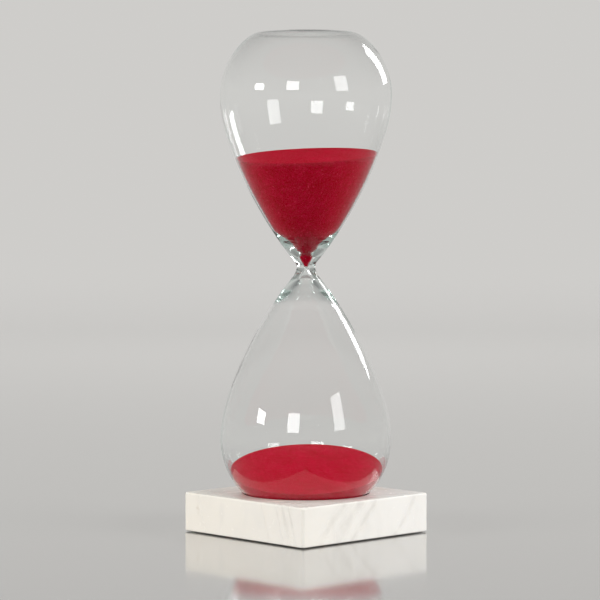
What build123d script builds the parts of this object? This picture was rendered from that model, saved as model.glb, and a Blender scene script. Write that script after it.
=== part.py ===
from build123d import *
import math
import os

# Hourglass: two blown glass bulbs with crimson sand, standing loose in the socket of a square marble slab.
# Millimetres, +Z up. The origin is under the middle of the slab, at the level of the foot pads' undersides.

# Marble base
SLAB_MARGIN = 0.5  # how far the slab's sides stand out past the widest place of the bulbs
SLAB_THICKNESS = 23.0
FRONT_HEADING = -45.0  # degrees from +X to the slab's front corner
CORNER_EASE = 2.0  # round on the four upright corners
EDGE_EASE = 0.9  # round on the upper and lower edges
SOCKET_DEPTH = 5.5
SOCKET_CLEARANCE = 0.3  # between the glass and the socket's mouth, all round
SOCKET_EASE = 0.2  # chamfer on the socket's rim

# Foot pads
PAD_RADIUS = 7.0
PAD_THICKNESS = 0.5
PAD_INSET = 14.0  # from the slab's sides to a pad's centre

# Outside of one bulb, from the middle of the throat to the flat end
WAIST_RADIUS = 5.4
NECK_BEND = 6.6  # radius of the bend between the waist and the flank
FLANK_ANGLE = 42.0  # degrees from upright where the flank leaves the bend
FLANK_PULL = 20.0  # how far the flank runs on along that angle
FLANK_HEIGHT = 102.0  # from the middle of the throat to the widest place
WIDEST_RADIUS = 50.8
WIDEST_PULL = 32.0  # how far the flank stays near upright below the widest place
SHOULDER_HEIGHT = 37.0  # from the widest place to the flat end
SHOULDER_PULL = 22.0  # how far the shoulder stays near upright above the widest place
END_RADIUS = 28.0  # flat part of the pressed end
END_PULL = 6.0  # how far the shoulder stays near level beside the flat part
GLASS_WALL = 1.0
CURVE_POINTS = 16  # steps that carry a curve over to the inside of a wall

# Inside of the throat: a hole, a funnel, a rounded lip and a dish that runs into the bulb
THROAT_HALF_LENGTH = 21.0  # from its middle to where a bulb is fused on
OPENING_RADIUS = 0.7
OPENING_HALF_LENGTH = 1.0
FUNNEL_RADIUS = 3.8
FUNNEL_DEPTH = 6.6
LIP_REACH = 0.9  # outwards from the funnel's edge
LIP_RISE = 1.2
DISH_REACH = 4.6  # outwards from the lip
DISH_RISE = 3.9
DISH_RUN = 21.0  # length of the flank that the dish lies behind

# Filling hole in the lower end
PLUG_RADIUS = 5.0

# Sand
SAND_GAP = 0.12  # air between the sand and the glass
SAND_TIP = 0.2  # lowest sand in the funnel, above the hole's edge
UPPER_SAND_LEVEL = 66.4  # on the axis, above the middle of the throat
UPPER_SAND_LEAN = 6.4  # degrees down towards the slab's front corner
UPPER_SAND_TILT = 2.1  # degrees up towards the slab's right corner
LOWER_SAND_DEPTH = 17.3  # on the axis, above the inside of the lower end
LOWER_SAND_LEAN = 12.4
LOWER_SAND_TILT = 0.6

# Sizes that follow from those above
BASE_SIDE = 2 * (WIDEST_RADIUS + SLAB_MARGIN)
BULB_LENGTH = FLANK_HEIGHT + SHOULDER_HEIGHT
SLAB_TOP = PAD_THICKNESS + SLAB_THICKNESS
SOCKET_FLOOR = SLAB_TOP - SOCKET_DEPTH
THROAT_HEIGHT = SOCKET_FLOOR + BULB_LENGTH
PAD_OFFSET = BASE_SIDE / 2 - PAD_INSET


def outer_curves():
    """Return a bulb's outline on one side of the throat: the flank and the shoulder."""
    angle = math.radians(FLANK_ANGLE)
    bend_x = WAIST_RADIUS + NECK_BEND * (1 - math.cos(angle))
    bend_z = NECK_BEND * math.sin(angle)
    flank = Bezier(
        (bend_x, 0, bend_z),
        (bend_x + FLANK_PULL * math.sin(angle), 0, bend_z + FLANK_PULL * math.cos(angle)),
        (WIDEST_RADIUS, 0, FLANK_HEIGHT - WIDEST_PULL),
        (WIDEST_RADIUS, 0, FLANK_HEIGHT),
    )
    shoulder = Bezier(
        (WIDEST_RADIUS, 0, FLANK_HEIGHT),
        (WIDEST_RADIUS, 0, FLANK_HEIGHT + SHOULDER_PULL),
        (END_RADIUS + END_PULL, 0, BULB_LENGTH),
        (END_RADIUS, 0, BULB_LENGTH),
    )
    return flank, shoulder


def inset_curve(curve, depth, start=0.0):
    """Return the curve that runs at a set depth inside another, from a share of its length onwards."""
    points = []
    for step in range(CURVE_POINTS + 1):
        share = start + (1 - start) * step / CURVE_POINTS
        place = curve @ share
        along = curve % share
        points.append((place.X - depth * along.Z, 0, place.Z + depth * along.X))
    return Spline(*points, tangents=[curve % start, curve % 1])


def turned(half, waist):
    """Return the solid of a half outline, its mirror image and the waist between them, turned about Z."""
    both = half + [curve.mirror(Plane.XY) for curve in half]
    top = half[-1] @ 1
    axis = Line((0, 0, top.Z), (0, 0, -top.Z))
    return revolve(make_face(both + [waist, axis]), axis=Axis.Z)


def envelope():
    """Return the vessel as solid glass, centred on the throat."""
    flank, shoulder = outer_curves()
    start = flank @ 0
    neck = ThreePointArc((start.X, 0, -start.Z), (WAIST_RADIUS, 0, 0), start)
    end = Line(shoulder @ 1, (0, 0, BULB_LENGTH))
    return turned([flank, shoulder, end], neck)


def inner_curves():
    """Return the inside of the glass above the hole: the funnel, the lip and dish, the wall and the end."""
    flank, shoulder = outer_curves()
    wall = inset_curve(flank, GLASS_WALL, DISH_RUN / flank.length)
    roof = inset_curve(shoulder, GLASS_WALL)
    hole = Vector(OPENING_RADIUS, 0, OPENING_HALF_LENGTH)
    edge = Vector(FUNNEL_RADIUS, 0, OPENING_HALF_LENGTH + FUNNEL_DEPTH)
    lip = edge + Vector(LIP_REACH, 0, LIP_RISE)
    dish = lip + Vector(DISH_REACH, 0, DISH_RISE)
    funnel = Line(hole, edge)
    bowl = Spline(edge, lip, dish, wall @ 0, tangents=[funnel % 1, wall % 0])
    return [funnel, bowl, wall, roof]


def cavity(gap=0.0):
    """Return the space inside the vessel, kept a gap away from the glass."""
    curves = inner_curves()
    if gap:
        curves = [inset_curve(curve, gap) for curve in curves]
    hole = curves[0] @ 0
    top = curves[-1] @ 1
    curves.append(Line(top, (0, 0, top.Z)))
    return turned(curves, Line((hole.X, 0, -hole.Z), hole))


def below_slope(shape, level, lean, tilt):
    """Keep what lies under a plane that falls towards the front corner and rises towards the right corner."""
    level_place = Pos(0, 0, level) * Rot(0, 0, FRONT_HEADING)
    surface = Plane(level_place * Rot(0, lean, 0) * Rot(tilt, 0, 0))
    return split(shape, bisect_by=surface, keep=Keep.BOTTOM)


def socket_radius():
    """Return the socket's radius: the glass at the level of the slab's top, and the clearance."""
    ring = envelope() & Plane.XY.offset(BULB_LENGTH - SOCKET_DEPTH) * Rectangle(2 * BASE_SIDE, 2 * BASE_SIDE)
    return ring.bounding_box().size.X / 2 + SOCKET_CLEARANCE


def make_base():
    """Return the slab with its eased edges and the round socket."""
    slab = Pos(0, 0, PAD_THICKNESS) * Box(
        BASE_SIDE, BASE_SIDE, SLAB_THICKNESS, align=(Align.CENTER, Align.CENTER, Align.MIN)
    )
    slab = fillet(slab.edges().filter_by(Axis.Z), CORNER_EASE)
    rims = slab.faces().sort_by(Axis.Z)[0].edges() + slab.faces().sort_by(Axis.Z)[-1].edges()
    slab = fillet(rims, EDGE_EASE)
    socket = Pos(0, 0, SOCKET_FLOOR) * Cylinder(
        socket_radius(), SOCKET_DEPTH, align=(Align.CENTER, Align.CENTER, Align.MIN)
    )
    slab -= socket
    rim = slab.edges().filter_by(GeomType.CIRCLE).group_by(Axis.Z)[-1].sort_by(SortBy.RADIUS)[-1]
    return chamfer(rim, SOCKET_EASE)


def make_pad(x, y):
    """Return one foot pad, standing on the ground under the slab."""
    return Pos(x, y, 0) * Cylinder(PAD_RADIUS, PAD_THICKNESS, align=(Align.CENTER, Align.CENTER, Align.MIN))


def make_glass():
    """Return the upper bulb, the lower bulb with its filling hole, the throat and the plug."""
    vessel = Pos(0, 0, THROAT_HEIGHT) * (envelope() - cavity())
    upper_seam = Plane.XY.offset(THROAT_HEIGHT + THROAT_HALF_LENGTH)
    lower_seam = Plane.XY.offset(THROAT_HEIGHT - THROAT_HALF_LENGTH)
    upper = split(vessel, bisect_by=upper_seam, keep=Keep.TOP)
    rest = split(vessel, bisect_by=upper_seam, keep=Keep.BOTTOM)
    throat = split(rest, bisect_by=lower_seam, keep=Keep.TOP)
    lower = split(rest, bisect_by=lower_seam, keep=Keep.BOTTOM)
    plug = Pos(0, 0, SOCKET_FLOOR) * Cylinder(
        PLUG_RADIUS, GLASS_WALL, align=(Align.CENTER, Align.CENTER, Align.MIN)
    )
    return upper, lower - plug, throat, plug


def make_upper_sand():
    """Return the sand above the opening, from the funnel up to its sloping surface."""
    tip = Plane.XY.offset(OPENING_HALF_LENGTH + SAND_TIP)
    space = split(cavity(SAND_GAP), bisect_by=tip, keep=Keep.TOP)
    sand = below_slope(space, UPPER_SAND_LEVEL, UPPER_SAND_LEAN, UPPER_SAND_TILT)
    return Pos(0, 0, THROAT_HEIGHT) * sand


def make_lower_sand():
    """Return the sand that has run through, banked up in the lower bulb."""
    level = LOWER_SAND_DEPTH + GLASS_WALL - BULB_LENGTH
    sand = below_slope(cavity(SAND_GAP), level, LOWER_SAND_LEAN, LOWER_SAND_TILT)
    return Pos(0, 0, THROAT_HEIGHT) * sand


def save(shape, node):
    """Write one piece as its own file."""
    export_step(shape, f"parts/{node}.step")


def main():
    """Build every piece and write it."""
    os.makedirs("parts", exist_ok=True)
    save(make_base(), "marble_base")
    corners = [(1, -1), (1, 1), (-1, 1), (-1, -1)]
    for number, (side_x, side_y) in enumerate(corners, start=1):
        save(make_pad(side_x * PAD_OFFSET, side_y * PAD_OFFSET), f"foot_pad_{number}")
    upper, lower, throat, plug = make_glass()
    save(upper, "upper_bulb")
    save(lower, "lower_bulb")
    save(throat, "throat")
    save(plug, "fill_plug")
    save(make_upper_sand(), "upper_sand")
    save(make_lower_sand(), "lower_sand")


main()
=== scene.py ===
"""Dresses the hourglass: blown glass and crimson sand, standing loose in a square slab of veined marble.

Metres throughout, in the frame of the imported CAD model, with +Z up.
"""

import logging
import math
from dataclasses import dataclass, field
from enum import Enum
from functools import reduce
from typing import Any, Mapping, Sequence

import bmesh
import bpy
from bmesh.types import BMEdge, BMesh, BMFace, BMVert
from mathutils import Euler, Matrix, Vector, noise
from mathutils.geometry import interpolate_bezier


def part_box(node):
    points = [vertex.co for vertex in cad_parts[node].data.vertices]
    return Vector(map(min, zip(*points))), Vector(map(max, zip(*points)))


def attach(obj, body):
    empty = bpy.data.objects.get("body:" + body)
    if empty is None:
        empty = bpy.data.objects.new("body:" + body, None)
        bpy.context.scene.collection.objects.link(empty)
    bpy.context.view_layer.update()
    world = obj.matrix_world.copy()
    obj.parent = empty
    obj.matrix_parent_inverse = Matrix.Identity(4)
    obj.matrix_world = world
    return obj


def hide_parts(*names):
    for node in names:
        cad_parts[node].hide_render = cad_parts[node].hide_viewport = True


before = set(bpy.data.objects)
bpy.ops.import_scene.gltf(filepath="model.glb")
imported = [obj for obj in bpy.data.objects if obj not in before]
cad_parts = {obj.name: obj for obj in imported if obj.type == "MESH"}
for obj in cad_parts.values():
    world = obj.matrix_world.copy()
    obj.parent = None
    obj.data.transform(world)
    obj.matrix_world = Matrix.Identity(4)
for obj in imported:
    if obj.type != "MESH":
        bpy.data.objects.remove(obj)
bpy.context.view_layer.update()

TURN_STEPS = 144
SAME_PLACE = 1e-6
SAND_BACKED = "sand_backed"
SAND_BEHIND = "sand_behind"
UPPER_SAND_LEVEL = 0.0664
LOWER_SAND_DEPTH = 0.0173
LOG = logging.getLogger("hourglass")

Colour = tuple[float, float, float, float]
Triple = tuple[float, float, float]
Outline = list[Vector]

WHITE: Colour = (1.0, 1.0, 1.0, 1.0)


class Value:
    """A number that changes over a surface, held as a node socket and used in Python expressions."""

    def __init__(self, shader: "Shader", socket: bpy.types.NodeSocket) -> None:
        """Wrap one output socket of a shader's node."""
        self.shader = shader
        self.socket = socket

    def _math(self, operation: str, *terms: Any) -> "Value":
        """Add one Math node.

        Args:
            operation: The node's operation.
            terms: Its inputs, in order, as values or numbers.

        Returns:
            The node's result.
        """
        made = self.shader.node("ShaderNodeMath", {"operation": operation}, dict(enumerate(terms)))
        return Value(self.shader, made.outputs[0])

    def __add__(self, other: Any) -> "Value":
        """Return this value plus another."""
        return self._math("ADD", self, other)

    def __radd__(self, other: float) -> "Value":
        """Return a number plus this value."""
        return self._math("ADD", other, self)

    def __sub__(self, other: Any) -> "Value":
        """Return this value less another."""
        return self._math("SUBTRACT", self, other)

    def __rsub__(self, other: float) -> "Value":
        """Return a number less this value."""
        return self._math("SUBTRACT", other, self)

    def __mul__(self, other: Any) -> "Value":
        """Return this value times another."""
        return self._math("MULTIPLY", self, other)

    def __rmul__(self, other: float) -> "Value":
        """Return a number times this value."""
        return self._math("MULTIPLY", other, self)

    def __abs__(self) -> "Value":
        """Return this value without its sign."""
        return self._math("ABSOLUTE", self)

    def most(self, other: Any) -> "Value":
        """Return the larger of this value and another."""
        return self._math("MAXIMUM", self, other)

    def fade(self, low: float, high: float) -> "Value":
        """Ease from 0 to 1 while this value goes from one level to another.

        Args:
            low: The level that gives 0.
            high: The level that gives 1. It may be the lower one.

        Returns:
            The eased share.
        """
        sockets = {"Value": self, "From Min": low, "From Max": high}
        made = self.shader.node("ShaderNodeMapRange", {"interpolation_type": "SMOOTHSTEP"}, sockets)
        return Value(self.shader, made.outputs["Result"])


class Shader:
    """The node tree of one material or of the world."""

    def __init__(self, owner: Any, output: str = "ShaderNodeOutputMaterial") -> None:
        """Empty the owner's tree and give it an output node.

        Args:
            owner: The material or world.
            output: The type of its output node.
        """
        owner.use_nodes = True
        self.tree = owner.node_tree
        self.tree.nodes.clear()
        self.output = self.node(output)

    def node(
        self, kind: str, settings: Mapping[str, Any] | None = None, sockets: Mapping[Any, Any] | None = None
    ) -> bpy.types.Node:
        """Add a node.

        Args:
            kind: The node's type.
            settings: Its settings by name.
            sockets: Values or links for its inputs, by name or number.

        Returns:
            The node.
        """
        made = self.tree.nodes.new(kind)
        for name, setting in (settings or {}).items():
            setattr(made, name, setting)
        for key, content in (sockets or {}).items():
            self.feed(made.inputs[key], content)
        return made

    def feed(self, socket: bpy.types.NodeSocket, content: Any) -> None:
        """Link something to an input, or set the input to a constant.

        Args:
            socket: The input.
            content: A value, an output or a constant.
        """
        if isinstance(content, Value):
            content = content.socket
        if isinstance(content, bpy.types.NodeSocket):
            self.tree.links.new(content, socket)
        else:
            socket.default_value = content

    def finish(self, surface: bpy.types.NodeSocket, volume: bpy.types.NodeSocket | None = None) -> None:
        """Link what was made to the output.

        Args:
            surface: The surface's shader.
            volume: The shader of what the surface encloses, if there is one.
        """
        self.feed(self.output.inputs["Surface"], surface)
        if volume is not None:
            self.feed(self.output.inputs["Volume"], volume)

    def place(self, scale: Triple = (1.0, 1.0, 1.0), turn: Triple = (0.0, 0.0, 0.0)) -> bpy.types.NodeSocket:
        """Return the piece's own coordinates, turned and scaled.

        Args:
            scale: Scale along each axis.
            turn: Turn about each axis, in degrees.

        Returns:
            The vector's socket.
        """
        own = self.node("ShaderNodeTexCoord").outputs["Object"]
        angles = [math.radians(angle) for angle in turn]
        sockets = {"Vector": own, "Scale": scale, "Rotation": angles}
        return self.node("ShaderNodeMapping", None, sockets).outputs[0]

    def grain(
        self, vector: Any, size: float, detail: float = 2.0, roughness: float = 0.5, warp: float = 0.0
    ) -> Value:
        """Return a cloudy noise from 0 to 1.

        Args:
            vector: Where the noise is read.
            size: Size of its largest blots, in metres.
            detail: Number of finer layers.
            roughness: Strength of those layers.
            warp: How far the noise distorts itself.

        Returns:
            The noise.
        """
        sockets = {
            "Vector": vector,
            "Scale": 1.0 / size,
            "Detail": detail,
            "Roughness": roughness,
            "Distortion": warp,
        }
        return Value(self, self.node("ShaderNodeTexNoise", None, sockets).outputs[0])

    def measured(self, operation: str, vector: Any, other: Triple = (0.0, 0.0, 0.0)) -> Value:
        """Return a number that Vector Math finds from a vector and another.

        Args:
            operation: The node's operation.
            vector: The first vector.
            other: The second vector.

        Returns:
            The number.
        """
        made = self.node("ShaderNodeVectorMath", {"operation": operation}, {0: vector, 1: other})
        return Value(self, made.outputs["Value"])

    def mixed(self, share: Any, low: Any, high: Any) -> bpy.types.NodeSocket:
        """Mix two colours by a share.

        Args:
            share: 0 for the first colour, 1 for the second.
            low: The first colour.
            high: The second colour.

        Returns:
            The mixed colour's socket.
        """
        sockets = {"Factor": share, 6: low, 7: high}
        return self.node("ShaderNodeMix", {"data_type": "RGBA"}, sockets).outputs[2]

    def blend(self, share: Any, first: Any, second: Any) -> bpy.types.NodeSocket:
        """Mix two shaders by a share.

        Args:
            share: 0 for the first shader, 1 for the second.
            first: The first shader.
            second: The second shader.

        Returns:
            The mixed shader's socket.
        """
        return self.node("ShaderNodeMixShader", None, {0: share, 1: first, 2: second}).outputs[0]

    def principled(self, sockets: Mapping[str, Any]) -> bpy.types.NodeSocket:
        """Return a Principled shader with these values and links."""
        return self.node("ShaderNodeBsdfPrincipled", None, sockets).outputs[0]

    def marked(self, name: str) -> Value:
        """Return the number that a mesh holds under a name."""
        return Value(self, self.node("ShaderNodeAttribute", {"attribute_name": name}).outputs["Fac"])

    def ray_is(self, *kinds: str) -> Value:
        """Tell some kinds of rays from the others.

        Args:
            kinds: The kinds, as Light Path names them.

        Returns:
            1 for a ray of one of these kinds, and 0 for any other.
        """
        path = self.node("ShaderNodeLightPath")
        return reduce(Value.most, [Value(self, path.outputs[f"Is {kind} Ray"]) for kind in kinds])

    def seen(self) -> Value:
        """Return 1 for what the camera sees, also through or off the glass, and 0 for thrown light."""
        return self.ray_is("Camera", "Glossy", "Transmission")

    def bump(self, height: Value, depth: float, strength: float = 1.0) -> bpy.types.NodeSocket:
        """Return a normal that a height from 0 to 1 leans.

        Args:
            height: The height.
            depth: What a height of 1 stands for, in metres.
            strength: Share of the lean that is used.

        Returns:
            The normal's socket.
        """
        sockets = {"Height": height, "Distance": depth, "Strength": strength}
        return self.node("ShaderNodeBump", None, sockets).outputs[0]


@dataclass(frozen=True)
class ClearGlass:
    """Blown soda-lime glass: clear through a wall, faintly green where it is seen edge-on.

    Attributes:
        ior: How strongly it bends light.
        tint: Colour of thick glass.
        tint_density: How quickly that colour builds up.
        shine: Tint of what a bare surface reflects straight back.
        painted_dim_shine: The same for the inside where sand lies against it, turned down there as painted
            shade on the reflections over the sand.
        painted_dimming: Share of the outside's reflection that is taken off where sand lies behind a thin
            wall, as painted shade on the reflections over the sand.
        let_through: Share of the lamps' light that each surface lets through.
        wave_size: Size of the waves in the surface.
        wave_run: How tightly they follow each other along each axis.
        wave_depth: Their depth.
    """

    ior: float = 1.47
    tint: Colour = (0.80, 0.88, 0.86, 1.0)
    tint_density: float = 60.0
    shine: Colour = (0.55, 0.55, 0.55, 1.0)
    painted_dim_shine: Colour = (0.05, 0.05, 0.05, 1.0)
    painted_dimming: float = 0.55
    let_through: Colour = (0.93, 0.94, 0.935, 1.0)
    wave_size: float = 0.030
    wave_run: Triple = (1.0, 1.0, 0.6)
    wave_depth: float = 0.0004

    def body(self, shader: Shader, shine: Colour, normal: bpy.types.NodeSocket) -> bpy.types.NodeSocket:
        """Return clear glass.

        Args:
            shader: The node tree.
            shine: Tint of what it reflects straight back.
            normal: The normal of its wavy surface.

        Returns:
            The glass's socket.
        """
        return shader.principled({
            "Base Color": WHITE,
            "Roughness": 0.0,
            "IOR": self.ior,
            "Specular Tint": shine,
            "Transmission Weight": 1.0,
            "Normal": normal,
        })

    def material(self) -> bpy.types.Material:
        """Make the finish.

        Where sand lies against the glass its inside reflects far less, and its outside reflects less where
        the sand lies behind a thin wall.
        Both are painted shade that keeps the surroundings' reflections off the sand. Lamps and bounced light
        go straight through, so that they reach the sand.

        Returns:
            The material.
        """
        made = bpy.data.materials.new("clear_glass")
        shader = Shader(made)
        waves = shader.grain(shader.place(self.wave_run), self.wave_size, detail=1.0)
        normal = shader.bump(waves, self.wave_depth)
        bare = self.body(shader, self.shine, normal)
        backed = self.body(shader, self.painted_dim_shine, normal)
        # Painted shade: the inside reflects far less where sand lies against it.
        glass = shader.blend(shader.marked(SAND_BACKED), bare, backed)
        plain = {"Color": WHITE, "Roughness": 0.0, "IOR": self.ior, "Normal": normal}
        bent = shader.node("ShaderNodeBsdfRefraction", None, plain).outputs[0]
        # Painted shade: the outside reflects less where sand lies behind a thin wall.
        glass = shader.blend(shader.marked(SAND_BEHIND) * self.painted_dimming, glass, bent)
        clear = shader.node("ShaderNodeBsdfTransparent", None, {"Color": self.let_through}).outputs[0]
        surface = shader.blend(shader.ray_is("Shadow", "Diffuse"), glass, clear)
        tinted = {"Color": self.tint, "Density": self.tint_density}
        shader.finish(surface, shader.node("ShaderNodeVolumeAbsorption", None, tinted).outputs[0])
        return made


@dataclass(frozen=True)
class CrimsonSand:
    """Fine dyed sand: crimson grains of slightly differing depth, and a few pale ones."""

    deep: Colour = (0.33, 0.001, 0.005, 1.0)
    bright: Colour = (0.54, 0.003, 0.033, 1.0)
    pale: Colour = (0.85, 0.09, 0.16, 1.0)
    grain_size: float = 0.0006
    drift_size: float = 0.012
    grain_share: float = 0.6
    shades: tuple[float, float] = (0.1, 0.9)
    pale_lots: tuple[float, float] = (0.95, 1.0)
    paleness: float = 0.35
    roughness: float = 0.50
    rougher: float = 0.25
    rounded: float = 0.7
    relief: float = 0.00048

    def material(self) -> bpy.types.Material:
        """Make the finish.

        Returns:
            The material.
        """
        made = bpy.data.materials.new("crimson_sand")
        shader = Shader(made)
        place = shader.place()
        cells = shader.node("ShaderNodeTexVoronoi", None, {"Vector": place, "Scale": 1.0 / self.grain_size})
        parts = shader.node("ShaderNodeSeparateColor", None, {0: cells.outputs["Color"]})
        lot = Value(shader, parts.outputs[0])
        drift = shader.grain(place, self.drift_size, detail=3.0)
        shade = lot * self.grain_share + drift * (1.0 - self.grain_share)
        body = shader.mixed(shade.fade(*self.shades), self.deep, self.bright)
        colour = shader.mixed(lot.fade(*self.pale_lots) * self.paleness, body, self.pale)
        rounding = 1.0 - Value(shader, cells.outputs["Distance"])
        height = rounding * self.rounded + drift * (1.0 - self.rounded)
        shader.finish(shader.principled({
            "Base Color": colour,
            "Roughness": self.roughness + lot * self.rougher,
            "Diffuse Roughness": 0.6,
            "Specular IOR Level": 0.0,
            "Normal": shader.bump(height, self.relief, strength=0.6),
        }))
        return made


@dataclass(frozen=True)
class Clouding:
    """A cloudy pattern that runs through stone.

    Attributes:
        size: Size of its largest blots.
        detail: Number of finer layers.
        roughness: Strength of those layers.
        warp: How far it distorts itself.
        scale: How tightly it is packed along each axis.
        turn: Its turn about each axis, in degrees.
        levels: The noise at which it starts to show and at which it shows fully.
        strength: How strongly it shows then.
    """

    size: float
    detail: float
    roughness: float
    warp: float = 0.0
    scale: Triple = (1.0, 1.0, 1.0)
    turn: Triple = (0.0, 0.0, 0.0)
    levels: tuple[float, float] = (0.0, 1.0)
    strength: float = 1.0

    def share(self, shader: Shader) -> Value:
        """Return how strongly the pattern shows."""
        place = shader.place(self.scale, self.turn)
        cloud = shader.grain(place, self.size, self.detail, self.roughness, self.warp)
        return cloud.fade(*self.levels) * self.strength


@dataclass(frozen=True)
class VeinedMarble:
    """Polished white marble, nearly plain, with faint streaks and soft grey veins across one corner, and
    painted light that makes it warmer towards one corner and cooler towards the opposite one.
    """

    # Painted light: the stone's colour at the cool-lit and the warm-lit end of the slab.
    cool_lit_colour: Colour = (0.865, 0.845, 0.805, 1.0)
    warm_lit_colour: Colour = (0.860, 0.812, 0.728, 1.0)
    grey: Colour = (0.66, 0.635, 0.59, 1.0)
    vein: Colour = (0.52, 0.49, 0.44, 1.0)
    beige: Colour = (0.78, 0.67, 0.50, 1.0)
    rust: Colour = (0.50, 0.37, 0.23, 1.0)
    roughness: float = 0.22
    # Painted light: the side that the warm light is painted on, and how far across the slab it fades.
    warm_light_side: Triple = (-0.707, -0.707, 0.0)
    warm_light_reach: float = 0.072
    streaks: Clouding = Clouding(
        size=0.016, detail=4.0, roughness=0.5, warp=0.8,
        scale=(1.0, 1.0, 0.30), turn=(8.0, -6.0, 0.0), levels=(0.52, 0.80), strength=0.28,
    )
    clouds: Clouding = Clouding(
        size=0.050, detail=4.0, roughness=0.55, warp=0.4, levels=(0.5, 0.8), strength=0.22
    )
    blots: Clouding = Clouding(
        size=0.045, detail=3.0, roughness=0.5, warp=0.3,
        scale=(1.0, 1.0, 0.45), turn=(32.0, 24.0, 15.0), levels=(0.62, 0.80), strength=0.35,
    )
    stain: Triple = (-0.0387, -0.0513, 0.0154)
    stain_size: float = 0.0040
    stain_strength: float = 0.5
    stain_run: Triple = (1.0, 1.0, 0.3)
    run_strength: float = 0.3
    across: Triple = (-0.894, 0.345, -0.285)
    beds: tuple[tuple[float, float], ...] = (
        (-0.0590, 0.0016), (-0.0545, 0.0022), (-0.0500, 0.0012), (-0.0385, 0.0012), (0.0104, 0.0014)
    )
    waver: float = 0.004
    waver_size: float = 0.018
    unbroken: Clouding = Clouding(size=0.012, detail=4.0, roughness=0.6, levels=(0.30, 0.62))
    vein_strength: float = 0.30
    vein_dulling: float = 0.12
    wear_size: float = 0.004
    wear_dulling: float = 0.08
    wear_share: float = 0.4
    relief: float = 0.00006

    def veins(self, shader: Shader) -> Value:
        """Fill wavering flat beds that run right through the stone.

        Args:
            shader: The node tree.

        Returns:
            The veins, from 0 to 1.
        """
        own = shader.place()
        waver = shader.grain(own, self.waver_size, detail=4.0, roughness=0.55) * self.waver - self.waver / 2
        level = shader.measured("DOT_PRODUCT", own, self.across) + waver
        filled = [1.0 - abs(level - middle).fade(0.0, width) for middle, width in self.beds]
        return reduce(Value.most, filled) * self.unbroken.share(shader)

    def spot(self, shader: Shader) -> Value:
        """Make the small rusty stain beside one corner, which has run a little way down the side.

        Args:
            shader: The node tree.

        Returns:
            The stain's strength.
        """
        uneven = shader.grain(shader.place(), self.stain_size / 2, detail=3.0) * self.stain_size
        blot = shader.measured("DISTANCE", shader.place(), self.stain) + uneven
        middle = tuple(place * share for place, share in zip(self.stain, self.stain_run))
        run = shader.measured("DISTANCE", shader.place(self.stain_run), middle) + uneven
        blot_share = blot.fade(self.stain_size, 0.0) * self.stain_strength
        return blot_share + run.fade(self.stain_size, 0.0) * self.run_strength

    def material(self) -> bpy.types.Material:
        """Make the finish.

        Returns:
            The material.
        """
        made = bpy.data.materials.new("veined_marble")
        shader = Shader(made)
        veins = self.veins(shader)
        layers = (
            (self.streaks.share(shader) + self.clouds.share(shader), self.grey),
            (self.blots.share(shader), self.beige),
            (veins * self.vein_strength, self.vein),
            (self.spot(shader), self.rust),
        )
        # Painted light: warmer towards one corner and cooler towards the opposite one, standing in for warm
        # light from one side and cool light from the other.
        painted_warm_light = shader.measured("DOT_PRODUCT", shader.place(), self.warm_light_side).fade(-self.warm_light_reach, self.warm_light_reach)
        colour = shader.mixed(painted_warm_light, self.cool_lit_colour, self.warm_lit_colour)
        for share, layer in layers:
            colour = shader.mixed(share, colour, layer)
        wear = shader.grain(shader.place(), self.wear_size, detail=3.0, roughness=0.6)
        shader.finish(shader.principled({
            "Base Color": colour,
            "Roughness": self.roughness + veins * self.vein_dulling + wear * self.wear_dulling,
            "IOR": 1.49,
            "Subsurface Weight": 0.12,
            "Subsurface Radius": (1.0, 0.9, 0.75),
            "Subsurface Scale": 0.003,
            "Normal": shader.bump(wear * self.wear_share + veins * (1.0 - self.wear_share), self.relief),
        }))
        return made


@dataclass(frozen=True)
class DarkFelt:
    """Pressed wool felt, dark and matt, with loose fibres."""

    dark: Colour = (0.030, 0.025, 0.022, 1.0)
    light: Colour = (0.075, 0.064, 0.055, 1.0)
    fibre: float = 0.0005
    stretch: float = 0.2
    crossing: float = 25.0
    shades: tuple[float, float] = (0.35, 0.75)
    relief: float = 0.0002

    def material(self) -> bpy.types.Material:
        """Make the finish, from two lots of fibres that cross.

        Returns:
            The material.
        """
        made = bpy.data.materials.new("dark_felt")
        shader = Shader(made)
        along = shader.place((1.0, self.stretch, 1.0))
        across = shader.place((self.stretch, 1.0, 1.0), (0.0, 0.0, self.crossing))
        lots = [
            shader.grain(lot, self.fibre, detail=3.0, roughness=0.6, warp=1.5) for lot in (along, across)
        ]
        fibres = reduce(Value.most, lots)
        shader.finish(shader.principled({
            "Base Color": shader.mixed(fibres.fade(*self.shades), self.dark, self.light),
            "Roughness": 0.95,
            "Sheen Weight": 0.3,
            "Sheen Roughness": 0.5,
            "Normal": shader.bump(fibres, self.relief, strength=0.7),
        }))
        return made


@dataclass(frozen=True)
class PaleFloor:
    """Plain studio floor with a soft sheen, which fades into the backdrop far from the object.

    It looks pale, and throws as little light back at the object as a grey floor.
    """

    pale: Colour = (0.40, 0.392, 0.378, 1.0)
    thrown: Colour = (0.18, 0.174, 0.165, 1.0)
    roughness: float = 0.14
    polish: float = 0.08
    near: float = 0.5
    far: float = 4.0

    def material(self) -> bpy.types.Material:
        """Make the finish.

        Returns:
            The material.
        """
        made = bpy.data.materials.new("pale_floor")
        shader = Shader(made)
        surface = shader.principled({
            "Base Color": shader.mixed(shader.seen(), self.thrown, self.pale),
            "Roughness": self.roughness,
            "Coat Weight": 1.0,
            "Coat Roughness": self.polish,
        })
        clear = shader.node("ShaderNodeBsdfTransparent").outputs[0]
        away = shader.measured("LENGTH", shader.place()).fade(self.near, self.far)
        shader.finish(shader.blend(away, surface, clear))
        return made


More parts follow.
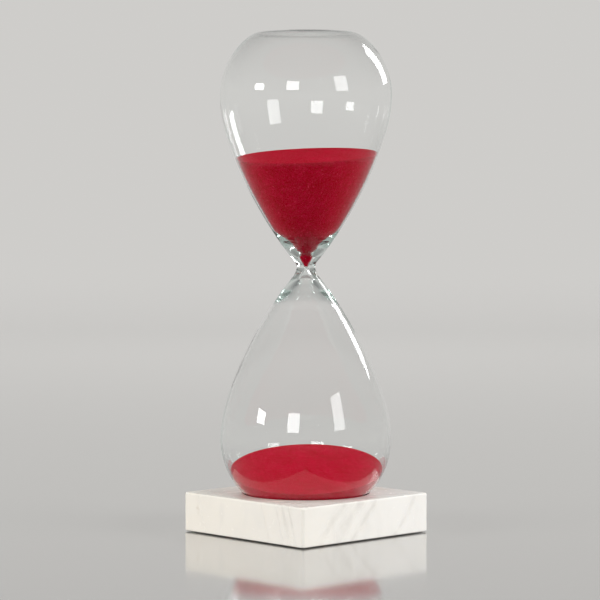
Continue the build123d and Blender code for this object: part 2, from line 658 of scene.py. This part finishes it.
def turned(outline: Sequence[Vector], bm: BMesh | None = None) -> tuple[BMesh, list[BMFace]]:
    """Turn an outline in the XZ plane once round Z.

    Args:
        outline: Points from one end to the other, with both ends on the axis.
        bm: The mesh that takes the faces, or none for a new one.

    Returns:
        The mesh, and the new faces, which point outwards.
    """
    bm = bm or bmesh.new()
    older = set(bm.faces)
    verts = [bm.verts.new(point) for point in outline]
    edges = [bm.edges.new(pair) for pair in zip(verts, verts[1:])]
    bmesh.ops.spin(
        bm, geom=verts + edges, cent=(0.0, 0.0, 0.0), axis=(0.0, 0.0, 1.0), angle=math.tau,
        steps=TURN_STEPS, use_merge=True,
    )
    bmesh.ops.remove_doubles(bm, verts=bm.verts, dist=SAME_PLACE)
    faces = [face for face in bm.faces if face not in older]
    bmesh.ops.recalc_face_normals(bm, faces=faces)
    return bm, faces


def add_piece(name: str, bm: BMesh, material: bpy.types.Material, crease: float = 40.0) -> bpy.types.Object:
    """Make an object at the origin from a finished mesh, and report it.

    Args:
        name: The piece's name.
        bm: Its mesh, in place, which is freed.
        material: Its finish.
        crease: Edges that turn by more than this many degrees stay sharp.

    Returns:
        The object.
    """
    mesh = bpy.data.meshes.new(name)
    bm.to_mesh(mesh)
    bm.free()
    mesh.shade_smooth()
    mesh.set_sharp_from_angle(angle=math.radians(crease))
    mesh.materials.append(material)
    piece = bpy.data.objects.new(name, mesh)
    bpy.context.scene.collection.objects.link(piece)
    LOG.info("%s: %d faces, %s", name, len(mesh.polygons), material.name)
    return piece


def wear_finish(node: str, material: bpy.types.Material) -> None:
    """Give a CAD node that keeps its own shape a finish, and report it.

    Args:
        node: The node.
        material: Its finish.
    """
    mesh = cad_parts[node].data
    mesh.materials.clear()
    mesh.materials.append(material)
    LOG.info("%s: CAD shape, %s", node, material.name)


@dataclass(frozen=True)
class VesselOutline:
    """Half outline of the glass in the XZ plane, from the middle of the throat up to the flat end.

    Attributes:
        waist: Outer radius at the middle of the throat.
        bend: Radius of the bend between the waist and the flank.
        flank_angle: Angle from upright at which the flank leaves the bend, in radians.
        flank_pull: How far the flank runs on along that angle.
        flank_height: From the middle of the throat to the widest place.
        widest: Outer radius at the widest place.
        widest_pull: How far the flank stays near upright below the widest place.
        shoulder_height: From the widest place to the flat end.
        shoulder_pull: How far the shoulder stays near upright above the widest place.
        end: Radius of the flat end.
        end_pull: How far the shoulder stays near level beside the flat end.
        wall: Thickness of the glass.
        hole: Radius of the opening between the bulbs.
        hole_half_length: Half of the opening's length.
        funnel: Radius of the funnel's edge.
        funnel_depth: From the opening to that edge.
        lip: How far the lip reaches outwards and rises from the funnel's edge.
        dish: How far the dish reaches outwards and rises from the lip.
        dish_run: Length of the flank that the dish lies behind.
        sand_gap: Air between the sand and the glass.
        neck_steps: Steps along the neck's bend.
        flank_points: Points along the flank.
        shoulder_points: Points along the shoulder.
        funnel_steps: Steps along the funnel.
        bowl_steps: Steps along each stretch from the funnel's edge to the wall.
        end_rings: Rings of the flat end, as shares of its radius.
    """

    waist: float = 0.0054
    bend: float = 0.0066
    flank_angle: float = math.radians(42.0)
    flank_pull: float = 0.0200
    flank_height: float = 0.1020
    widest: float = 0.0508
    widest_pull: float = 0.0320
    shoulder_height: float = 0.0370
    shoulder_pull: float = 0.0220
    end: float = 0.0280
    end_pull: float = 0.0060
    wall: float = 0.0010
    hole: float = 0.0007
    hole_half_length: float = 0.0010
    funnel: float = 0.0038
    funnel_depth: float = 0.0066
    lip: tuple[float, float] = (0.0009, 0.0012)
    dish: tuple[float, float] = (0.0046, 0.0039)
    dish_run: float = 0.0210
    sand_gap: float = 0.00012
    neck_steps: int = 8
    flank_points: int = 48
    shoulder_points: int = 32
    funnel_steps: int = 8
    bowl_steps: int = 6
    end_rings: tuple[float, ...] = (0.8, 0.55, 0.3, 0.12, 0.0)

    @property
    def length(self) -> float:
        """Length of one bulb, from the middle of the throat."""
        return self.flank_height + self.shoulder_height

    @staticmethod
    def inset(points: Outline, depth: float) -> Outline:
        """Move an outline inwards, square to its own run.

        Args:
            points: The outline, which runs upwards with the axis on its left.
            depth: How far it moves.

        Returns:
            The moved outline.
        """
        moved = []
        for number, point in enumerate(points):
            along = (points[min(number + 1, len(points) - 1)] - points[max(number - 1, 0)]).normalized()
            moved.append(point + depth * Vector((-along.z, 0.0, along.x)))
        return moved

    @staticmethod
    def through(knots: Outline, start: Vector, finish: Vector, steps: int) -> Outline:
        """Run a smooth curve through knots.

        Args:
            knots: The points it passes.
            start: Its direction at the first knot.
            finish: Its direction at the last knot.
            steps: Points in each stretch.

        Returns:
            The curve's points, with the first and last knot.
        """
        runs = [(after - before).length for before, after in zip(knots, knots[1:])]
        leans = [start.normalized() * runs[0]]
        leans += [(after - before) / 2 for before, after in zip(knots, knots[2:])]
        leans.append(finish.normalized() * runs[-1])
        points = [knots[0]]
        for number in range(len(runs)):
            before, after = knots[number], knots[number + 1]
            stretch = interpolate_bezier(
                before, before + leans[number] / 3, after - leans[number + 1] / 3, after, steps + 1
            )
            points += [Vector(point) for point in stretch[1:]]
        return points

    def neck(self, angle: float) -> Vector:
        """Return the point of the neck's bend where the outside has leaned by an angle."""
        return Vector((self.waist + self.bend * (1 - math.cos(angle)), 0.0, self.bend * math.sin(angle)))

    def flank(self) -> Outline:
        """Run from the end of the neck's bend to the widest place.

        Returns:
            The points of the outside there.
        """
        foot = self.neck(self.flank_angle)
        along = Vector((math.sin(self.flank_angle), 0.0, math.cos(self.flank_angle)))
        pulled = foot + self.flank_pull * along
        held = Vector((self.widest, 0.0, self.flank_height - self.widest_pull))
        top = Vector((self.widest, 0.0, self.flank_height))
        return [Vector(point) for point in interpolate_bezier(foot, pulled, held, top, self.flank_points)]

    def shoulder(self) -> Outline:
        """Run from the widest place to the flat part of the end.

        Returns:
            The points of the outside there.
        """
        foot = Vector((self.widest, 0.0, self.flank_height))
        held = foot + Vector((0.0, 0.0, self.shoulder_pull))
        rim = Vector((self.end, 0.0, self.length))
        pulled = rim + Vector((self.end_pull, 0.0, 0.0))
        return [Vector(point) for point in interpolate_bezier(foot, held, pulled, rim, self.shoulder_points)]

    def flat(self, height: float, outer: float) -> Outline:
        """Return the flat end at a height, from near its rim to the axis."""
        return [Vector((outer * share, 0.0, height)) for share in self.end_rings]

    def outside(self) -> Outline:
        """Return the upper half of the outside, from the waist to the axis."""
        neck = [self.neck(self.flank_angle * step / self.neck_steps) for step in range(self.neck_steps)]
        return neck + self.flank() + self.shoulder()[1:] + self.flat(self.length, self.end)

    def inside(self, gap: float = 0.0) -> Outline:
        """Return the upper half of the inside, from the edge of the hole to the axis.

        Args:
            gap: How far inside the glass it runs.

        Returns:
            The outline.
        """
        flank = self.flank()
        run = 0.0
        first = 0
        while run < self.dish_run:
            first += 1
            run += (flank[first] - flank[first - 1]).length
        wall = self.inset(flank, self.wall)[first:]
        roof = self.inset(self.shoulder(), self.wall)[1:]
        hole = Vector((self.hole, 0.0, self.hole_half_length))
        edge = Vector((self.funnel, 0.0, self.hole_half_length + self.funnel_depth))
        lip = edge + Vector((self.lip[0], 0.0, self.lip[1]))
        dish = lip + Vector((self.dish[0], 0.0, self.dish[1]))
        funnel = [hole.lerp(edge, step / self.funnel_steps) for step in range(self.funnel_steps)]
        bowl = self.through([edge, lip, dish, wall[0]], edge - hole, wall[1] - wall[0], self.bowl_steps)
        line = funnel + bowl + wall[1:] + roof
        if gap:
            line = self.inset(line, gap)
        return line + self.flat(line[-1].z, line[-1].x)

    @staticmethod
    def mirrored(points: Outline) -> Outline:
        """Return an outline's mirror image below the throat."""
        return [Vector((point.x, 0.0, -point.z)) for point in points]


@dataclass
class GlassVessel:
    """Both bulbs and the throat between them, fused into one vessel, with the filling hole melted shut.

    Attributes:
        outline: Its half outline.
        finish: The glass.
        seal: Radius of the ring where the hole was closed.
        seal_depth: Depth of that ring.
        seal_width: Half of that ring's width.
        seal_clear: The end's own rings are kept from this many times the seal's radius.
        thick_neck: How far from the middle of the throat the wall counts as thick.
        blend: Distance over which the painted shade on the outside's reflection comes in.
    """

    outline: VesselOutline
    finish: ClearGlass = field(default_factory=ClearGlass)
    seal: float = 0.0050
    seal_depth: float = 0.0002
    seal_width: float = 0.0006
    seal_clear: float = 1.3
    thick_neck: float = 0.0210
    blend: float = 0.0040

    def middle(self) -> Vector:
        """Return the middle of the throat."""
        lowest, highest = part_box("throat")
        return (lowest + highest) / 2

    def sealed_end(self) -> Outline:
        """Put a ring where the hole was closed into the lower half of the outside.

        Returns:
            The outline from the axis to the waist.
        """
        below = self.outline.mirrored(self.outline.outside())
        width = self.seal_width
        groove = ((width, 0.0), (0.0, self.seal_depth), (-width, 0.0), (-self.seal / 2, 0.0))
        ring = [Vector((self.seal + shift, 0.0, rise - self.outline.length)) for shift, rise in groove]
        keep = [point for point in below if point.x > self.seal * self.seal_clear]
        return [below[-1]] + (keep + ring)[::-1]

    def build(self, banks: Sequence["SandBank"]) -> bpy.types.Object:
        """Make the vessel.

        Args:
            banks: The sand that lies in it.

        Returns:
            The piece, which stands for the CAD bulbs, throat and plug.
        """
        inner = self.outline.inside()
        bm = bmesh.new()
        backed = bm.faces.layers.float.new(SAND_BACKED)
        behind = bm.verts.layers.float.new(SAND_BEHIND)
        faces = turned(self.outline.mirrored(inner[::-1]) + inner, bm)[1]
        bmesh.ops.reverse_faces(bm, faces=faces)
        for face in faces:
            # Faces with sand against them get the painted shade on the inside's reflections.
            face[backed] = float(any(bank.covers(face) for bank in banks))
        outer = turned(self.sealed_end()[:-1] + self.outline.outside(), bm)[1]
        for vert in {vert for face in outer for vert in face.verts}:
            thin = min(max((abs(vert.co.z) - self.thick_neck) / self.blend, 0.0), 1.0)
            # Spots with sand behind a thin wall get the painted shade on the outside's reflection.
            vert[behind] = thin * max(bank.backing(vert.co, self.blend) for bank in banks)
        bmesh.ops.translate(bm, verts=bm.verts, vec=self.middle())
        piece = add_piece("glass_vessel", bm, self.finish.material())
        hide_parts("upper_bulb", "lower_bulb", "throat", "fill_plug")
        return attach(piece, "glass")


class Chamber(Enum):
    """The bulb that a bank of sand lies in."""

    UPPER = "upper"
    LOWER = "lower"


@dataclass
class SandBank:
    """Sand in one bulb, lying against the glass under a sloping surface.

    Attributes:
        chamber: The bulb.
        outline: The vessel's half outline.
        material: The sand's finish.
        level: Height of the surface on the axis, from the middle of the throat.
        lean: Degrees by which the surface falls towards the slab's front corner.
        tilt: Degrees by which it rises towards the slab's right corner.
        headroom: How far the mesh reaches above the level before it is cut.
        heading: Degrees from +X to the slab's front corner.
        tip: Lowest sand in the funnel, above the opening's edge.
        tip_narrowing: Radius of that sand, as a share of the sand's just above it.
        rings: Rings of the surface.
        weld: Corners of the cut that lie closer than this are merged.
        unevenness: Most that the surface rises or falls.
        drift: Size of its rises and falls.
    """

    chamber: Chamber
    outline: VesselOutline
    material: bpy.types.Material
    level: float
    lean: float
    tilt: float
    headroom: float
    heading: float = -45.0
    tip: float = 0.0002
    tip_narrowing: float = 0.9
    rings: int = 16
    weld: float = 0.0003
    unevenness: float = 0.0004
    drift: float = 0.014

    def body(self) -> BMesh:
        """Turn the space that the sand fills, with its top well above the surface.

        Returns:
            The mesh.
        """
        line = self.outline.inside(self.outline.sand_gap)
        top = self.level + self.headroom
        if self.chamber is Chamber.LOWER:
            line = [point for point in self.outline.mirrored(line[::-1]) if point.z < top]
        else:
            low = self.outline.hole_half_length + self.tip
            line = [point for point in line if low < point.z < top]
            line = [Vector((0.0, 0.0, low)), Vector((line[0].x * self.tip_narrowing, 0.0, low))] + line
        return turned(line + [Vector((0.0, 0.0, line[-1].z))])[0]

    def slope(self) -> Vector:
        """Find the direction that the sand's surface faces.

        Returns:
            A vector of length 1.
        """
        turn = Euler((0.0, 0.0, math.radians(self.heading))).to_matrix()
        fall = Euler((0.0, math.radians(self.lean), 0.0)).to_matrix()
        side = Euler((math.radians(self.tilt), 0.0, 0.0)).to_matrix()
        return turn @ fall @ side @ Vector((0.0, 0.0, 1.0))

    def covers(self, face: BMFace) -> bool:
        """Say whether the sand lies against a face of the glass's inside.

        Args:
            face: The face, placed about the middle of the throat.

        Returns:
            Whether all of it lies under the sand's surface.
        """
        facing = self.slope()
        low = 0.0 if self.chamber is Chamber.UPPER else -self.outline.length
        surface = Vector((0.0, 0.0, self.level))
        return all(vert.co.z > low and (vert.co - surface).dot(facing) < 0.0 for vert in face.verts)

    def backing(self, spot: Vector, blend: float) -> float:
        """Say how fully the sand lies behind a spot on the glass's outside.

        Args:
            spot: The spot, placed about the middle of the throat.
            blend: The depth under the sand's surface from which it does so fully.

        Returns:
            A share from 0 to 1.
        """
        if (spot.z > 0.0) is not (self.chamber is Chamber.UPPER):
            return 0.0
        depth = (Vector((0.0, 0.0, self.level)) - spot).dot(self.slope())
        return min(max(depth / blend, 0.0), 1.0)

    def level_off(self, bm: BMesh) -> None:
        """Cut the sand along its surface, close it and give the surface rings that can be uneven.

        Args:
            bm: The sand's mesh.
        """
        facing = self.slope()
        cut = bmesh.ops.bisect_plane(
            bm, geom=bm.verts[:] + bm.edges[:] + bm.faces[:], plane_co=(0.0, 0.0, self.level),
            plane_no=facing, clear_outer=True,
        )
        bmesh.ops.remove_doubles(
            bm, verts=[item for item in cut["geom_cut"] if isinstance(item, BMVert)], dist=self.weld
        )
        loop = [edge for edge in bm.edges if edge.is_boundary]
        centre = Matrix.Translation((0.0, 0.0, -self.level))
        inner: list[BMVert] = []
        for left in range(self.rings, 1, -1):
            grown = bmesh.ops.extrude_edge_only(bm, edges=loop)["geom"]
            loop = [item for item in grown if isinstance(item, BMEdge) and item.is_boundary]
            ring = [item for item in grown if isinstance(item, BMVert)]
            share = (left - 1) / left
            bmesh.ops.scale(bm, vec=(share, share, share), space=centre, verts=ring)
            inner += ring
        cap = bmesh.ops.edgeloop_fill(bm, edges=loop)["faces"]
        inner += bmesh.ops.poke(bm, faces=cap)["verts"]
        bmesh.ops.recalc_face_normals(bm, faces=bm.faces)
        for vert in inner:
            vert.co += facing * self.unevenness * noise.noise(vert.co / self.drift)

    def build(self, middle: Vector) -> bpy.types.Object:
        """Make the bank of sand.

        Args:
            middle: The middle of the throat.

        Returns:
            The piece, which stands for the CAD sand.
        """
        bm = self.body()
        self.level_off(bm)
        bmesh.ops.translate(bm, verts=bm.verts, vec=middle)
        piece = add_piece(f"{self.chamber.value}_sand_bank", bm, self.material)
        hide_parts(f"{self.chamber.value}_sand")
        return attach(piece, "glass")


@dataclass
class MarbleBase:
    """The square slab and the felt pads under it.

    Attributes:
        stone: The slab's finish.
        felt: The pads' finish.
        pads: Number of pads.
        pad_ease: Round on a pad's edges.
        pad_sides: Sides that stand for a pad's round.
        fray: Most that a pad draws in, as a share of its radius.
        fray_size: Size of that unevenness.
        fray_step: Shift of the unevenness from one pad to the next.
    """

    stone: VeinedMarble = field(default_factory=VeinedMarble)
    felt: DarkFelt = field(default_factory=DarkFelt)
    pads: int = 4
    pad_ease: float = 0.00015
    pad_sides: int = 72
    fray: float = 0.02
    fray_size: float = 0.0018
    fray_step: float = 0.01

    def build(self) -> None:
        """Dress the slab and make the pads."""
        wear_finish("marble_base", self.stone.material())
        felt = self.felt.material()
        for number in range(1, self.pads + 1):
            self.pad(number, felt)

    def pad(self, number: int, felt: bpy.types.Material) -> bpy.types.Object:
        """Make one pad with a soft, slightly uneven edge.

        Args:
            number: Which of the pads, from 1.
            felt: Its finish.

        Returns:
            The piece, which stands for the CAD pad.
        """
        lowest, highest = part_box(f"foot_pad_{number}")
        size = highest - lowest
        bm = bmesh.new()
        bmesh.ops.create_cone(
            bm, cap_ends=True, segments=self.pad_sides, radius1=size.x / 2, radius2=size.x / 2, depth=size.z
        )
        rims = [edge for edge in bm.edges if abs(edge.verts[0].co.z - edge.verts[1].co.z) < SAME_PLACE]
        bmesh.ops.bevel(
            bm, geom=rims, offset=self.pad_ease, segments=3, affect="EDGES", profile=0.5, material=-1
        )
        for vert in bm.verts:
            spot = Vector((vert.co.x, vert.co.y, number * self.fray_step))
            pull = 0.5 + 0.5 * noise.noise(spot / self.fray_size)
            vert.co.xy *= 1.0 - self.fray * pull
        bmesh.ops.translate(bm, verts=bm.verts, vec=(lowest + highest) / 2)
        piece = add_piece(f"felt_pad_{number}", bm, felt)
        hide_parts(f"foot_pad_{number}")
        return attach(piece, "base")


@dataclass(frozen=True)
class Softbox:
    """A rectangular lamp, placed by how it stands to the camera.

    Attributes:
        name: Its name.
        bearing: Degrees to the right of the camera, seen by the camera.
        height: Degrees above the horizon.
        distance: From the object.
        width: Its width.
        tall: Its height.
        power: Its power, in watts.
        mirrored: Whether the glass and the marble show its image. If so, it leaves the floor unlit.
    """

    name: str
    bearing: float
    height: float
    distance: float
    width: float
    tall: float
    power: float
    mirrored: bool = True


@dataclass
class Studio:
    """Floor, soft lamps, plain backdrop and the camera.

    Attributes:
        azimuth: Degrees round from -Y to the camera.
        elevation: Degrees up to the camera.
        distance: From the object to the camera.
        sighted: Height on the axis that the camera and the lamps are placed from.
        aimed: Height that the camera points at.
        aside: How far to the right of the axis it points.
        focal_pixels: The lens's focal length, in pixels of the picture.
        frame_pixels: The picture's width, in the same pixels.
        floor_reach: Radius of the floor.
        floor_sides: Sides that stand for its round.
        bounces: Most times that a ray is followed on.
        ambient: Strength of the even light from all round.
        horizon: The backdrop's colour at the horizon.
        zenith: The backdrop's colour overhead.
        darkening: Rises between which it darkens, as shares of straight up.
        lamps: The lamps.
    """

    azimuth: float = 46.35
    elevation: float = 2.35
    distance: float = 1.506
    sighted: float = 0.151
    aimed: float = 0.138
    aside: float = -0.0035
    focal_pixels: float = 2543.0
    frame_pixels: float = 600.0
    floor_reach: float = 8.0
    floor_sides: int = 96
    bounces: int = 40
    ambient: float = 0.09
    horizon: Colour = (0.62, 0.61, 0.592, 1.0)
    zenith: Colour = (0.22, 0.22, 0.22, 1.0)
    darkening: tuple[float, float] = (0.10, 0.85)
    lamps: tuple[Softbox, ...] = (
        Softbox("front_left_lamp", -17.0, 15.0, 1.9, 0.55, 0.45, 9.0),
        Softbox("front_right_lamp", 48.0, 18.0, 1.7, 0.50, 0.60, 7.0),
        Softbox("left_lamp", -65.0, 14.0, 1.6, 0.36, 0.22, 6.0),
        Softbox("rear_right_lamp", 136.0, 24.0, 1.6, 0.40, 0.70, 6.0),
        Softbox("left_fill", -68.0, 18.0, 1.8, 0.80, 0.60, 20.5, mirrored=False),
        Softbox("right_fill", 70.0, 18.0, 1.8, 0.80, 0.60, 27.0, mirrored=False),
        Softbox("back_fill", 180.0, 20.0, 1.8, 0.80, 0.60, 10.0, mirrored=False),
    )

    def direction(self, bearing: float, height: float) -> Vector:
        """Return a direction from the object.

        Args:
            bearing: Degrees to the right of the camera, seen by the camera.
            height: Degrees above the horizon.

        Returns:
            A vector of length 1.
        """
        round_about = math.radians(self.azimuth + bearing)
        rise = math.radians(height)
        return Vector((
            math.sin(round_about) * math.cos(rise), -math.cos(round_about) * math.cos(rise), math.sin(rise)
        ))

    def build(self) -> None:
        """Set up the whole studio."""
        bpy.context.scene.view_settings.view_transform = "Standard"
        cycles = bpy.context.scene.cycles
        cycles.caustics_reflective = False
        cycles.caustics_refractive = False
        cycles.max_bounces = self.bounces
        cycles.glossy_bounces = self.bounces
        cycles.transmission_bounces = self.bounces
        bare = self.lay_floor()
        self.set_backdrop()
        for lamp in self.lamps:
            self.hang(lamp, bare)
        self.place_camera()

    def lay_floor(self) -> bpy.types.Collection:
        """Lay the round floor under the pads.

        Returns:
            A group that leaves the floor out of the light of the lamps that use it.
        """
        bm = bmesh.new()
        bmesh.ops.create_circle(bm, cap_ends=True, segments=self.floor_sides, radius=self.floor_reach)
        floor = add_piece("studio_floor", bm, PaleFloor().material())
        bare = bpy.data.collections.new("floor_left_out")
        bare.objects.link(floor)
        bare.collection_objects[0].light_linking.link_state = "EXCLUDE"
        return bare

    def set_backdrop(self) -> None:
        """Light all round evenly, and show the camera and the glass a pale backdrop that darkens overhead."""
        world = bpy.data.worlds.new("studio_world")
        bpy.context.scene.world = world
        shader = Shader(world, "ShaderNodeOutputWorld")
        facing = shader.node("ShaderNodeTexCoord").outputs["Generated"]
        parts = shader.node("ShaderNodeSeparateXYZ", None, {0: facing})
        rise = Value(shader, parts.outputs[2]).fade(*self.darkening)
        shown = shader.mixed(rise, self.horizon, self.zenith)
        backdrop = shader.node("ShaderNodeBackground", None, {"Color": shown, "Strength": 1.0})
        light = shader.node("ShaderNodeBackground", None, {"Color": WHITE, "Strength": self.ambient})
        shader.finish(shader.blend(shader.seen(), light.outputs[0], backdrop.outputs[0]))

    def hang(self, box: Softbox, bare: bpy.types.Collection) -> None:
        """Hang one lamp, turned to the middle of the object.

        Args:
            box: The lamp.
            bare: The group that keeps a mirrored lamp's image off the floor.
        """
        lamp = bpy.data.lights.new(box.name, "AREA")
        lamp.shape = "RECTANGLE"
        lamp.size = box.width
        lamp.size_y = box.tall
        lamp.energy = box.power
        holder = bpy.data.objects.new(box.name, lamp)
        away = self.direction(box.bearing, box.height)
        holder.location = Vector((0.0, 0.0, self.sighted)) + away * box.distance
        holder.rotation_mode = "QUATERNION"
        holder.rotation_quaternion = away.to_track_quat("Z", "Y")
        holder.visible_glossy = box.mirrored
        holder.visible_transmission = box.mirrored
        if box.mirrored:
            holder.light_linking.receiver_collection = bare
        bpy.context.scene.collection.objects.link(holder)

    def place_camera(self) -> None:
        """Stand the camera where the photograph was taken from."""
        lens = bpy.data.cameras.new("camera")
        lens.angle = 2 * math.atan(self.frame_pixels / 2 / self.focal_pixels)
        camera = bpy.data.objects.new("camera", lens)
        away = self.direction(0.0, self.elevation) * self.distance
        camera.location = Vector((0.0, 0.0, self.sighted)) + away
        target = Vector((0.0, 0.0, self.aimed)) + self.aside * self.direction(90.0, 0.0)
        camera.rotation_mode = "QUATERNION"
        camera.rotation_quaternion = (target - camera.location).to_track_quat("-Z", "Y")
        bpy.context.scene.collection.objects.link(camera)
        bpy.context.scene.camera = camera


def main() -> None:
    """Build and dress every piece, then the studio round them."""
    logging.basicConfig(level=logging.INFO, format="%(message)s")
    outline = VesselOutline()
    vessel = GlassVessel(outline)
    sand = CrimsonSand().material()
    lower_level = LOWER_SAND_DEPTH + outline.wall - outline.length
    banks = [
        SandBank(Chamber.UPPER, outline, sand, UPPER_SAND_LEVEL, lean=6.4, tilt=2.1, headroom=0.012),
        SandBank(Chamber.LOWER, outline, sand, lower_level, lean=12.4, tilt=0.6, headroom=0.020),
    ]
    vessel.build(banks)
    for bank in banks:
        bank.build(vessel.middle())
    MarbleBase().build()
    Studio().build()


if __name__ == "__main__":
    main()
